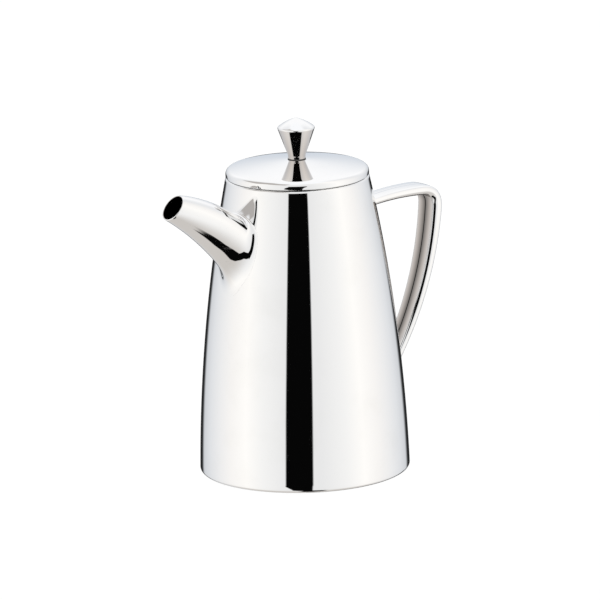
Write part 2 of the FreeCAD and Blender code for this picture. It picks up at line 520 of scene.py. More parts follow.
def lathe(name: str, outline: Sequence[Pair], closed: bool = True, around: int = AROUND,
          painted_shade: Callable[[float], float] | None = None) -> bpy.types.Object:
    """Turns an outline about the pot's axis.

    Args:
        name: object name.
        outline: radius and height of each point in millimetres.
        closed: whether the last point joins the first.
        around: number of segments.
        painted_shade: how much painted shade darkens the steel at a height, from 0 to 1.

    Returns:
        The turned object.
    """
    points: list[tuple[float, float, float]] = []
    rows: list[list[int]] = []
    for radius, height in outline:
        first = len(points)
        if radius < 1e-6:
            points.append((0.0, 0.0, height))
            rows.append([first] * around)
            continue
        for step in range(around):
            turn = 2 * math.pi * step / around
            points.append((radius * math.cos(turn), radius * math.sin(turn), height))
        rows.append(list(range(first, first + around)))
    return mesh_object(name, points, bridge(rows, closed), painted_shade and [painted_shade(point[2]) for point in points])


def bridge(rows: Sequence[Sequence[int]], closed: bool = False) -> list[list[int]]:
    """Faces between neighbouring rows of corners that run round a tube.

    Args:
        rows: corner numbers of each row, all of one length.
        closed: whether the last row joins the first.

    Returns:
        Corner numbers of each face.
    """
    faces = []
    pairs = list(zip(rows, rows[1:])) + ([(rows[-1], rows[0])] if closed else [])
    for lower, upper in pairs:
        for step in range(len(lower)):
            after = (step + 1) % len(lower)
            loop = [lower[step], lower[after], upper[after], upper[step]]
            face = list(dict.fromkeys(loop))
            if len(face) > 2:
                faces.append(face)
    return faces


def tube(name: str, rows: Sequence[Sequence[Sequence[float]]], capped: bool = False,
         painted_shade: Sequence[float] | None = None) -> bpy.types.Object:
    """Skin over rows of points that run round a tube.

    Args:
        name: object name.
        rows: points of each row in millimetres, all rows of one length.
        capped: whether the two ends are closed.
        painted_shade: how much painted shade darkens the steel at each point, from 0 to 1.

    Returns:
        The new object.
    """
    points = [point for row in rows for point in row]
    size = len(rows[0])
    numbers = [list(range(index * size, (index + 1) * size)) for index in range(len(rows))]
    faces = bridge(numbers)
    if capped:
        faces += [numbers[0], numbers[-1]]
    return mesh_object(name, points, faces, painted_shade)


def smooth(low: float, high: float, value: float) -> float:
    """Smooth step from 0 at low to 1 at high."""
    share = min(max((value - low) / (high - low), 0.0), 1.0)
    return share * share * (3 - 2 * share)


def narrowed(start: float, end: float, test: Callable[[float], bool], rounds: int) -> Pair:
    """Halves a range again and again round the place where a test stops holding.

    Args:
        start: where the test holds.
        end: where it doesn't hold.
        test: the test.
        rounds: number of halvings.

    Returns:
        The narrowed range, start first.
    """
    for _ in range(rounds):
        middle = (start + end) / 2
        start, end = (middle, end) if test(middle) else (start, middle)
    return start, end


def cut_away(target: bpy.types.Object, cutter: bpy.types.Object) -> None:
    """Cuts one object's shape out of another and removes the cutter.

    Args:
        target: object that is cut.
        cutter: object that is cut away.
    """
    step = target.modifiers.new("cut", "BOOLEAN")
    step.operation = "DIFFERENCE"
    step.solver = "EXACT"
    step.object = cutter
    shown = bpy.context.evaluated_depsgraph_get()
    result = bpy.data.meshes.new_from_object(target.evaluated_get(shown))
    target.modifiers.clear()
    target.data = result
    result.shade_smooth()
    bpy.data.objects.remove(cutter)


@dataclass
class Body:
    """Spun body with its base plate. Sizes in millimetres."""

    base_radius: float = 55.65
    top_radius: float = 37.8
    height: float = 158.6
    belly: float = 3.6
    wall: float = 1.0
    shoulder_round: float = 1.7
    foot_round: float = 1.6
    mouth_radius: float = 32.0
    foot_flange: float = 6.5
    spout_hole_height: float = 128.0
    spout_hole_radius: float = 9.5
    base_thickness: float = 1.2
    base_rise: float = 3.0
    base_rim: float = 4.5
    base_slope: float = 5.0
    base_edge_gap: float = 0.3
    base_inset: float = 3.0
    base_bends: Pair = (4.0, 3.0)
    edge_round: float = 0.4
    side_steps: int = 36
    drill_span: Pair = (20.0, 70.0)
    drill_steps: int = 48

    def side_circle(self) -> tuple[float, float, float]:
        """Circle of the side's outline.

        Returns:
            Radius of its centre from the axis, height of its centre and its radius.
        """
        run = math.hypot(self.base_radius - self.top_radius, self.height)
        radius = run * run / (8 * self.belly) + self.belly / 2
        outward = (self.height / run, (self.base_radius - self.top_radius) / run)
        middle = ((self.base_radius + self.top_radius) / 2, self.height / 2)
        back = radius - self.belly
        return middle[0] - outward[0] * back, middle[1] - outward[1] * back, radius

    def wall_radius(self, height: float) -> float:
        """Outside radius of the side at a height."""
        centre, level, radius = self.side_circle()
        return centre + math.sqrt(radius * radius - (height - level) ** 2)

    def wall_normal(self, point: np.ndarray) -> np.ndarray:
        """Outward direction of the side.

        Args:
            point: a point on the side.

        Returns:
            The unit direction.
        """
        centre, level, radius = self.side_circle()
        lift = (point[2] - level) / radius
        out = point[:2] / np.hypot(*point[:2]) * math.sqrt(1 - lift * lift)
        return np.array([out[0], out[1], lift])

    def make_shell(self) -> bpy.types.Object:
        """Builds the spun wall with its lid seat, turned-in foot and the hole behind the spout.

        Returns:
            The shell.
        """
        inner_foot = (self.base_radius - self.wall, self.wall)
        inner_top = (self.top_radius - self.wall, self.height - self.wall)
        flange = self.base_radius - self.foot_flange
        outer_side = arc((self.base_radius, 0.0), (self.top_radius, self.height), self.belly, self.side_steps)[1:]
        inner_side = arc(inner_top, inner_foot, -self.belly, self.side_steps)[1:]
        edge = self.edge_round
        corners: list[Corner] = [(self.base_radius, 0.0, self.foot_round)]
        corners += [(x, z, 0.0) for x, z in outer_side]
        corners += [(self.top_radius, self.height, self.shoulder_round),
                    (self.mouth_radius, self.height, edge), (self.mouth_radius, inner_top[1], edge),
                    (*inner_top, self.shoulder_round - self.wall)]
        corners += [(x, z, 0.0) for x, z in inner_side]
        corners += [(*inner_foot, self.foot_round - self.wall), (flange, self.wall, edge), (flange, 0.0, edge)]
        shell = lathe("body_shell_spun", rounded(corners))
        drill = [[(-reach, self.spout_hole_radius * math.cos(turn),
                   self.spout_hole_height + self.spout_hole_radius * math.sin(turn))
                  for turn in np.linspace(0, 2 * math.pi, self.drill_steps, endpoint=False)]
                 for reach in self.drill_span]
        cut_away(shell, tube("spout_hole_drill", drill, capped=True))
        return shell

    def make_base(self) -> bpy.types.Object:
        """Builds the pressed disc that closes the body.

        Returns:
            The disc.
        """
        rim = self.base_radius - self.base_inset - self.base_edge_gap
        step = rim - self.base_rim
        middle = step - self.base_slope
        low, high = self.wall, self.wall + self.base_rise
        thick, edge = self.base_thickness, self.edge_round
        outside, inside = self.base_bends
        corners = [(0.0, high, 0.0), (middle, high, outside), (step, low, inside), (rim, low, edge),
                   (rim, low + thick, edge), (step, low + thick, outside), (middle, high + thick, inside),
                   (0.0, high + thick, 0.0)]
        return lathe("base_plate_pressed", rounded(corners, closed=False), closed=False)

    def build(self, finishes: Finishes) -> None:
        """Builds and dresses the body and its base."""
        finishes.dress(self.make_shell(), Slot.POLISHED, Rider.POT, "body_shell")
        finishes.dress(self.make_base(), Slot.SATIN, Rider.POT, "base_plate")


@dataclass
class Spout:
    """Curved pouring spout that runs into the body's side with a soft fillet. Sizes in millimetres."""

    body: Body
    reach: float = 81.6
    height: float = 154.2
    mouth_length: float = 15.2
    cut_angle: float = 40.0
    root_top: float = 143.0
    root_bottom: float = 110.0
    upper_bow: float = 2.2
    lower_bow: float = 2.6
    mouth_width: float = 13.4
    middle_width: float = 22.2
    root_width: float = 26.6
    mouth_crown: float = 0.5
    root_crown: float = 0.32
    top_fullness: float = 0.22
    keel: float = 0.3
    fillet_top: Pair = (2.6, 2.2)
    fillet_side: Pair = (5.0, 3.4)
    fillet_flank: Pair = (19.0, 6.0)
    fillet_keel: Pair = (14.0, 9.0)
    wall: float = 0.7
    wall_lift: float = 0.02
    bore_depth: float = 0.5
    around: int = 144
    bore_rows: int = 28
    lip_steps: int = 8
    horn_rows: int = 48
    fillet_rows: int = 20
    near: float = 0.01
    meet_range: Pair = (0.4, 1.5)
    lip_shade: tuple[float, ...] = (1.0, 1.0, 0.9, 0.4)
    blend_pull: float = 1.1

    def __post_init__(self) -> None:
        """Draws the upper line and the underside line in the plane of the spout."""
        tilt = math.radians(self.cut_angle)
        half = np.array([-math.sin(tilt), math.cos(tilt)]) * self.mouth_length / 2
        mouth = np.array([self.reach, self.height])
        upper_root = (self.body.wall_radius(self.root_top), self.root_top)
        lower_root = (self.body.wall_radius(self.root_bottom), self.root_bottom)
        self.upper_line = (tuple(mouth + half), upper_root, self.upper_bow)
        self.lower_line = (tuple(mouth - half), lower_root, self.lower_bow)

    @staticmethod
    def along(line: tuple[Pair, Pair, float], share: float) -> np.ndarray:
        """Point of a bowed line.

        Args:
            line: start, end and bow of the line.
            share: share of its length, also past its end.

        Returns:
            The point.
        """
        start, end, bow = np.array(line[0]), np.array(line[1]), line[2]
        chord = end - start
        left = np.array([chord[1], -chord[0]]) / np.hypot(*chord)
        left = left if left[1] > 0 else -left
        flat = start + chord * share + left * (4 * bow * share * (1 - share))
        return np.array([-flat[0], 0.0, flat[1]])

    def skin(self, share: float, turn: float, inset: float = 0.0) -> np.ndarray:
        """Point on the horn.

        Args:
            share: 0 at the mouth and 1 at the wall.
            turn: angle round the section, 0 at the left and a quarter turn at the top.
            inset: depth below the outer skin.

        Returns:
            The point.
        """
        top = self.along(self.upper_line, share)
        bottom = self.along(self.lower_line, share)
        down = bottom - top
        depth = float(np.linalg.norm(down))
        down /= depth
        crown = depth * (self.mouth_crown + (self.root_crown - self.mouth_crown) * share)
        width = (self.mouth_width * (1 - share) * (1 - 2 * share) + 4 * self.middle_width * share * (1 - share)
                 + self.root_width * share * (2 * share - 1))
        across, lift = math.cos(turn), math.sin(turn)
        reach = crown - inset if lift > 0 else depth - crown - inset
        width *= 1 + (self.top_fullness if lift > 0 else -self.keel) * lift * lift * smooth(0.0, 1.0, share)
        return top + down * (crown - lift * reach) + np.array([0.0, across * (width / 2 - inset), 0.0])

    def meet(self, turn: float, inset: float, depth: float) -> float:
        """Share at which a line along the horn meets the body.

        Args:
            turn: angle round the section.
            inset: depth below the outer skin of the horn.
            depth: depth below the outside of the body.

        Returns:
            The share.
        """
        def outside(share: float) -> bool:
            """Whether the line is still outside the body at a share."""
            point = self.skin(share, turn, inset)
            return np.hypot(point[0], point[1]) > self.body.wall_radius(point[2]) - depth

        return narrowed(*self.meet_range, outside, 40)[0]

    def fillet(self, turn: float) -> tuple[float, float]:
        """Size of the fillet.

        Args:
            turn: angle round the section.

        Returns:
            Its length along the horn and along the body.
        """
        below = -math.degrees(math.asin(math.sin(turn)))
        side, flank, keel = smooth(-90, 0, below), smooth(0, 50, below), smooth(50, 90, below)
        lengths = (np.array(self.fillet_top) * (1 - side) + np.array(self.fillet_side) * (side - flank)
                   + np.array(self.fillet_flank) * (flank - keel) + np.array(self.fillet_keel) * keel)
        return float(lengths[0]), float(lengths[1])

    @staticmethod
    def unit(vector: np.ndarray) -> np.ndarray:
        """The vector at length 1."""
        return vector / np.linalg.norm(vector)

    def fillet_ends(self, turns: Sequence[float]) -> list[tuple[float, np.ndarray, np.ndarray, np.ndarray]]:
        """Where the fillet leaves the horn and reaches the wall.

        Args:
            turns: angles round the section.

        Returns:
            For each angle the share on the horn, the direction there, the point on the wall and the direction there.
        """
        roots = [self.meet(turn, 0.0, 0.0) for turn in turns]
        feet = [self.skin(root, turn) for root, turn in zip(roots, turns)]
        length = float(np.linalg.norm(self.skin(0.5, 0.0) - self.skin(1.0, 0.0))) * 2
        centre = sum(feet) / len(feet)
        ends = []
        for index, (turn, root, foot) in enumerate(zip(turns, roots, feet)):
            run = feet[(index + 1) % len(feet)] - feet[index - 1]
            out = self.unit(np.cross(run, self.body.wall_normal(foot)))
            out = out if np.dot(out, foot - centre) > 0 else -out
            on_horn, on_wall = self.fillet(turn)
            share = root - on_horn / length
            leave = self.unit(self.skin(share + self.near, turn) - self.skin(share - self.near, turn))
            end = foot + out * on_wall
            scale = (self.body.wall_radius(end[2]) + self.wall_lift) / np.hypot(end[0], end[1])
            end = np.array([end[0] * scale, end[1] * scale, end[2]])
            normal = self.body.wall_normal(end)
            ends.append((share, leave, end, self.unit(out - normal * np.dot(out, normal))))
        return ends

    def make(self) -> bpy.types.Object:
        """Builds the outer skin with its fillet, the rounded lip and the bore, with painted shade in the bore and on
        the lip's inner rows.

        Returns:
            The spout.
        """
        turns = [2 * math.pi * step / self.around for step in range(self.around)]
        ends = self.fillet_ends(turns)
        bores = [self.meet(turn, self.wall, self.bore_depth) for turn in turns]
        rows = [[self.skin(bore * step / self.bore_rows, turn, self.wall) for bore, turn in zip(bores, turns)]
                for step in range(self.bore_rows, 0, -1)]
        tilt = math.radians(self.cut_angle)
        forward = np.array([-math.cos(tilt), 0.0, math.sin(tilt)])
        for step in range(self.lip_steps + 1):
            bend = math.pi * (1 - step / self.lip_steps)
            inset = self.wall / 2 * (1 - math.cos(bend))
            back = forward * (self.wall / 2 * (math.sin(bend) - 1.0))
            rows.append([self.skin(0.0, turn, inset) + back for turn in turns])
        for step in range(1, self.horn_rows + 1):
            rows.append([self.skin(self.near + (end[0] - self.near) * step / self.horn_rows, turn)
                         for end, turn in zip(ends, turns)])
        for step in range(1, self.fillet_rows + 1):
            rows.append([self.blend(step / self.fillet_rows, self.skin(end[0], turn), *end[1:])
                         for end, turn in zip(ends, turns)])
        # Painted shade: the bore rows are painted near black and the lip's first rows fade from near black to
        # brown-grey; the outer skin and fillet get none.
        painted_shade = [1.0] * self.bore_rows + list(self.lip_shade)
        painted_shade += [0.0] * (len(rows) - len(painted_shade))
        return tube("spout_horn", rows, painted_shade=np.repeat(painted_shade, self.around))

    def blend(self, share: float, start: np.ndarray, leave: np.ndarray, end: np.ndarray,
              arrive: np.ndarray) -> np.ndarray:
        """Point of the smooth curve between two points with given directions.

        Args:
            share: 0 at the start and 1 at the end.
            start: first point.
            leave: direction at the start.
            end: last point.
            arrive: direction at the end.

        Returns:
            The point.
        """
        span = float(np.linalg.norm(end - start)) * self.blend_pull
        square, cube = share * share, share ** 3
        return (start * (2 * cube - 3 * square + 1) + leave * span * (cube - 2 * square + share)
                + end * (3 * square - 2 * cube) + arrive * span * (cube - square))

    def build(self, finishes: Finishes) -> None:
        """Builds and dresses the spout."""
        finishes.dress(self.make(), Slot.POLISHED, Rider.POT, "spout")


@dataclass
class Handle:
    """Hollow handle of two pressed halves. Sizes in millimetres."""

    body: Body
    reach: float = 92.1
    height: float = 140.2
    corner_cut: float = 9.5
    arm_root_height: float = 136.1
    arm_root_thickness: float = 3.8
    arm_corner_thickness: float = 5.2
    arm_bow: float = 2.0
    leg_corner_thickness: float = 6.4
    leg_foot_height: float = 36.4
    leg_foot_thickness: float = 4.3
    leg_bow: float = 8.7
    root_width: float = 12.6
    corner_width: float = 15.8
    foot_width: float = 12.4
    edge_round: float = 2.2
    face_crown: float = 0.25
    bevel_radius: float = 5.0
    bend_radius: float = 1.1
    bevel_span: Pair = (40.0, 66.0)
    corner_step: float = 3.0
    bend_share: float = 0.45
    inner_shade: float = 0.78
    edge_shade: float = 0.45
    seam_shade: float = 0.65
    weld_depth: float = 4.0
    root_sink: float = 0.3
    seam_depth: float = 0.35
    seam_width: float = 0.22
    rows: int = 150

    def __post_init__(self) -> None:
        """Draws the middle line of arm, corner and leg with the size of the section along it."""
        root = (self.body.wall_radius(self.arm_root_height) - self.weld_depth, self.arm_root_height)
        corner = (self.reach - self.leg_corner_thickness / 2, self.height - self.arm_corner_thickness / 2)
        foot = (self.body.wall_radius(self.leg_foot_height) - self.weld_depth, self.leg_foot_height)
        arm = np.array(arc(root, corner, -self.arm_bow, 240) + [corner])
        leg = np.array(arc(corner, foot, -self.leg_bow, 480) + [foot])
        arm = arm[np.hypot(*(arm - corner).T) >= self.corner_cut]
        leg = leg[np.hypot(*(leg - corner).T) >= self.corner_cut]
        share = np.linspace(0, 1, 60)[1:-1, None]
        bend = arm[-1] * (1 - share) ** 2 + 2 * np.array(corner) * share * (1 - share) + leg[0] * share ** 2
        line = np.vstack([arm, bend, leg])
        sizes = np.vstack([
            np.column_stack([np.linspace(self.root_width, self.corner_width, len(arm)),
                             np.linspace(self.arm_root_thickness, self.arm_corner_thickness, len(arm))]),
            np.column_stack([np.full(len(bend), self.corner_width),
                             np.linspace(self.arm_corner_thickness, self.leg_corner_thickness, len(bend))]),
            np.column_stack([np.linspace(self.corner_width, self.foot_width, len(leg)),
                             np.linspace(self.leg_corner_thickness, self.leg_foot_thickness, len(leg))])])
        self.path = np.concatenate([[0.0], np.cumsum(np.hypot(*np.diff(line, axis=0).T))])
        self.line, self.sizes = line, sizes

    def follow(self, track: np.ndarray, place: float) -> np.ndarray:
        """Row of a track of two columns at a length along the handle."""
        return np.array([np.interp(place, self.path, track[:, column]) for column in (0, 1)])

    def at(self, place: float) -> tuple[np.ndarray, np.ndarray, float, float]:
        """Middle line and section of the handle.

        Args:
            place: length along the handle.

        Returns:
            Middle point, outward direction, width and thickness.
        """
        look = 0.6
        run = self.follow(self.line, place + look) - self.follow(self.line, place - look)
        run /= np.hypot(*run)
        width, thick = self.follow(self.sizes, place)
        return self.follow(self.line, place), np.array([-run[1], run[0]]), float(width), float(thick)

    def outline(self, width: float, thick: float) -> list[Corner]:
        """Half section from the outer face round the side to the inner seam.

        Args:
            width: full width of the handle.
            thick: thickness of the handle.

        Returns:
            Distance across and outwards of each point, and how much painted shade darkens it.
        """
        top, side = thick / 2, width / 2
        bend = min(self.edge_round, self.bend_share * thick)
        section = [(float(share * (side - bend)), top - self.face_crown * float(share ** 2), 0.0)
                   for share in np.linspace(0, 1, 7)]
        section += [(side - bend + bend * math.sin(turn), top - self.face_crown - bend + bend * math.cos(turn), 0.0)
                    for turn in np.linspace(0, math.pi / 2, 10)[1:]]
        corner = self.inner_corner()
        inset, drop, _ = corner[-1]
        scale = min(1.0, self.bend_share * thick / drop)
        # Painted shade grows over the inner corner and across the inner face towards the seam, and is full, near
        # black, in the seam.
        section += [(side - across * scale, (drop - deep) * scale - top,
                     self.inner_shade * smooth(45, 15, turn) * self.edge_shade) for across, deep, turn in corner]
        flat = side - inset * scale
        section += [(flat + (self.seam_width * 2 - flat) * share, -top,
                     self.inner_shade * (self.edge_shade + self.seam_shade * share))
                    for share in (0.2, 0.4, 0.6, 0.8, 1.0)]
        section += [(self.seam_width * across, self.seam_depth * deep - top, 1.0)
                    for across, deep in ((1.0, 0.1), (0.4, 0.5), (0.0, 1.0))]
        return section

    def inner_corner(self) -> list[Corner]:
        """Corner between the side and the inner face, with a broad flat bevel between two tight bends.

        Returns:
            Distance in from the side, depth towards the inner face and turn in degrees of each point.
        """
        points, across, deep = [(0.0, 0.0, 90.0)], 0.0, 0.0
        sweep = math.radians(self.corner_step)
        for turn in np.arange(90.0 - self.corner_step, -self.corner_step, -self.corner_step):
            middle = turn + self.corner_step / 2
            radius = self.bevel_radius if self.bevel_span[0] <= middle <= self.bevel_span[1] else self.bend_radius
            across += radius * math.cos(math.radians(middle)) * sweep
            deep += radius * math.sin(math.radians(middle)) * sweep
            points.append((across, deep, float(turn)))
        return points

    def skin(self, place: float, index: int, sign: float) -> np.ndarray:
        """Point on a half.

        Args:
            place: length along the handle.
            index: number of the point in the section.
            sign: 1 for the left half and -1 for the right one.

        Returns:
            The point.
        """
        point, outward, width, thick = self.at(place)
        across, out, _ = self.outline(width, thick)[index]
        flat = point + outward * out
        return np.array([flat[0], sign * across, flat[1]])

    def trim(self, start: float, end: float, index: int) -> float:
        """Length along the handle at which a line of the skin comes out of the body.

        Args:
            start: a length inside the body.
            end: a length outside it.
            index: number of the line in the section.

        Returns:
            The length.
        """
        def inside(place: float) -> bool:
            """Whether the line is inside the body at a length."""
            point = self.skin(place, index, 1.0)
            return np.hypot(point[0], point[1]) < self.body.wall_radius(point[2]) - self.root_sink

        return narrowed(start, end, inside, 30)[1]

    def make_half(self, name: str, sign: float) -> bpy.types.Object:
        """Builds one half, trimmed to the body's side.

        Args:
            name: object name.
            sign: 1 for the left half and -1 for the right one.

        Returns:
            The half.
        """
        # How much painted shade darkens each line of the section, the same all along the handle.
        painted_shade = [point[2] for point in self.outline(self.corner_width, self.leg_corner_thickness)]
        total = float(self.path[-1])
        spans = [(self.trim(0.0, total * 0.2, index), self.trim(total, total * 0.8, index))
                 for index in range(len(painted_shade))]
        rows = []
        for row in range(self.rows + 1):
            share = row / self.rows
            rows.append([self.skin(first * (1 - share) + last * share, index, sign)
                         for index, (first, last) in enumerate(spans)])
        return tube(name, rows, capped=True, painted_shade=painted_shade * len(rows))

    def build(self, finishes: Finishes) -> None:
        """Builds and dresses both halves."""
        finishes.dress(self.make_half("handle_half_left", 1.0), Slot.POLISHED, Rider.POT, "handle_left_half")
        finishes.dress(self.make_half("handle_half_right", -1.0), Slot.POLISHED, Rider.POT, "handle_right_half")


@dataclass
class Lid:
    """Lift-off lid: cover, collar, knob and the knob's fastening. Sizes in millimetres."""

    seat: float = 158.6
    radius: float = 37.8
    rim_height: float = 3.4
    edge_width: float = 1.0
    lower_inset: float = 1.4
    rim_round: float = 2.8
    skirt_gap: float = 0.3
    rise: float = 4.5
    crown: float = 0.3
    wall: float = 1.0
    collar_radius: float = 31.5
    collar_depth: float = 8.0
    collar_wall: float = 1.0
    collar_flange: float = 0.8
    collar_flange_inset: float = 1.8
    land_radius: float = 5.6
    washer_radius: float = 4.8
    washer_thickness: float = 0.4
    foot_radius: float = 4.6
    top_radius: float = 10.0
    foot_height: float = 1.6
    cone_height: float = 16.7
    cap_height: float = 5.2
    cap_bow: float = 0.55
    cone_shade: float = 0.42
    screw_radius: float = 2.0
    screw_clearance: float = 0.2
    screw_engagement: float = 8.0
    screw_tip_gap: float = 1.0
    thread_gap: float = 0.05
    head_radius: float = 3.8
    head_height: float = 2.4
    lock_radius: float = 4.4
    lock_thickness: float = 0.8
    land_round: float = 2.0
    skirt_round: float = 0.25
    skirt_depth: float = 1.4
    collar_round: float = 0.35
    flange_round: float = 0.2
    flare_round: float = 4.0
    cap_round: float = 1.1
    head_round: float = 1.6
    pitch: float = 0.7
    thread_depth: float = 0.35
    thread_start: float = 1.0
    tip_chamfer: float = 0.4
    recess_half: Pair = (2.0, 0.45)
    recess_depth: float = 1.1

    def __post_init__(self) -> None:
        """Works out the heights that follow from the sizes."""
        self.cover_seat = self.seat + self.collar_flange
        self.rim_top = self.cover_seat + self.rim_height
        self.land = self.rim_top + self.rise
        self.knob_seat = self.land + self.washer_thickness
        self.hole = self.screw_radius + self.screw_clearance
        self.under = self.land - self.wall

    def make_cover(self) -> bpy.types.Object:
        """Builds the domed cover with its rounded rim.

        Returns:
            The cover.
        """
        edge = self.radius - self.edge_width
        slope = arc((self.land_radius, self.land), (edge, self.rim_top), -self.crown, 20)[1:]
        below = arc((edge - self.wall, self.rim_top - self.wall), (self.land_radius, self.under), self.crown, 20)[1:]
        lower = self.radius - self.lower_inset
        corners: list[Corner] = [(self.hole, self.under, 0.1), (self.hole, self.land, 0.1),
                                 (self.land_radius, self.land, self.land_round)]
        corners += [(x, z, 0.0) for x, z in slope[:-2]]
        skirt = self.seat + self.skirt_gap
        corners += [(self.radius, self.rim_top - self.crown, self.rim_round), (self.radius, skirt, self.skirt_round),
                    (lower, skirt, 0.0), (lower, self.rim_top - self.skirt_depth, 0.4),
                    (edge - self.wall, self.rim_top - self.wall, 0.3)]
        corners += [(x, z, 0.0) for x, z in below]
        corners += [(self.land_radius, self.under, 0.0)]
        return lathe("lid_cover_domed", rounded(corners))

    def make_collar(self) -> bpy.types.Object:
        """Builds the ring that drops into the mouth.

        Returns:
            The collar.
        """
        bore = self.collar_radius - self.collar_wall
        flange = self.radius - self.collar_flange_inset
        low = self.seat - self.collar_depth
        edge, lip = self.collar_round, self.flange_round
        corners = [(bore, low, edge), (self.collar_radius, low, edge), (self.collar_radius, self.seat, 0.3),
                   (flange, self.seat, lip), (flange, self.cover_seat, lip), (bore, self.cover_seat, edge)]
        return lathe("lid_collar_ring", rounded(corners))

    def make_knob(self) -> bpy.types.Object:
        """Builds the flared knob with its pointed cap; its cone below the widest edge is painted darker as shade.

        Returns:
            The knob.
        """
        foot = self.knob_seat
        widest = foot + self.cone_height
        tip = widest + self.cap_height
        bore = self.screw_radius + self.thread_gap
        bottom = foot + self.screw_engagement + self.screw_tip_gap
        corners: list[Corner] = [(0.0, bottom, 0.0), (bore, bottom, 0.0), (bore, foot, 0.0),
                                 (self.foot_radius, foot, 0.2),
                                 (self.foot_radius, foot + self.foot_height, self.flare_round),
                                 (self.top_radius, widest, self.cap_round)]
        corners += [(x, z, 0.0) for x, z in arc((self.top_radius, widest), (0.0, tip), self.cap_bow, 24)[5:-1]]
        corners += [(0.0, tip - 0.1, 0.0)]
        # Painted shade darkens the flared cone up to just below its widest edge; the cap gets none.
        return lathe("lid_knob_flared", rounded(corners, closed=False, steps=12), closed=False, around=128,
                     painted_shade=lambda level: self.cone_shade * smooth(widest, widest - 1.2, level))

    def make_washer(self, name: str, outer: float, bottom: float, thick: float) -> bpy.types.Object:
        """Builds a flat washer round the screw.

        Args:
            name: object name.
            outer: outside radius.
            bottom: height of its lower face.
            thick: thickness.

        Returns:
            The washer.
        """
        edge = thick * 0.3
        corners = [(self.hole, bottom, edge), (outer, bottom, edge), (outer, bottom + thick, edge),
                   (self.hole, bottom + thick, edge)]
        return lathe(name, rounded(corners, steps=4), around=96)

    def make_screw(self) -> bpy.types.Object:
        """Builds the pan-head screw with a cross recess and a turned thread.

        Returns:
            The screw.
        """
        top = self.under - self.lock_thickness
        low = top - self.head_height
        end = self.knob_seat + self.screw_engagement
        corners: list[Corner] = [(0.0, low, 0.0), (self.head_radius, low, self.head_round),
                                 (self.head_radius, top, 0.15), (self.screw_radius, top, 0.1)]
        level, tip = top + self.thread_start, end - self.tip_chamfer
        while level + self.pitch < tip:
            corners += [(self.screw_radius, level, 0.0),
                        (self.screw_radius - self.thread_depth, level + self.pitch / 2, 0.0)]
            level += self.pitch
        corners += [(self.screw_radius, tip, 0.0), (self.screw_radius - self.tip_chamfer, end, 0.0), (0.0, end, 0.0)]
        screw = lathe("knob_screw_pan_head", rounded(corners, closed=False, steps=6), closed=False, around=64)
        for wide, deep in (self.recess_half, self.recess_half[::-1]):
            ring = [(-wide, -deep), (wide, -deep), (wide, deep), (-wide, deep)]
            slot = [[(x, y, level) for x, y in ring] for level in (low - 1.0, low + self.recess_depth)]
            cut_away(screw, tube("screw_recess", slot, capped=True))
        return screw

    def build(self, finishes: Finishes) -> None:
        """Builds and dresses the lid's pieces.

        Args:
            finishes: the pot's finishes.
        """
        finishes.dress(self.make_cover(), Slot.POLISHED, Rider.LID, "lid_cover")
        finishes.dress(self.make_collar(), Slot.SATIN, Rider.LID, "lid_collar")
        finishes.dress(self.make_knob(), Slot.POLISHED, Rider.LID, "lid_knob")
        seal = self.make_washer("knob_seal_washer", self.washer_radius, self.land, self.washer_thickness)
        finishes.dress(seal, Slot.WASHER, Rider.LID, "knob_washer")
        lock = self.make_washer("screw_lock_washer", self.lock_radius, self.under - self.lock_thickness,
                                self.lock_thickness)
        finishes.dress(lock, Slot.SATIN, Rider.LID, "lock_washer")
        finishes.dress(self.make_screw(), Slot.SATIN, Rider.LID, "knob_screw")


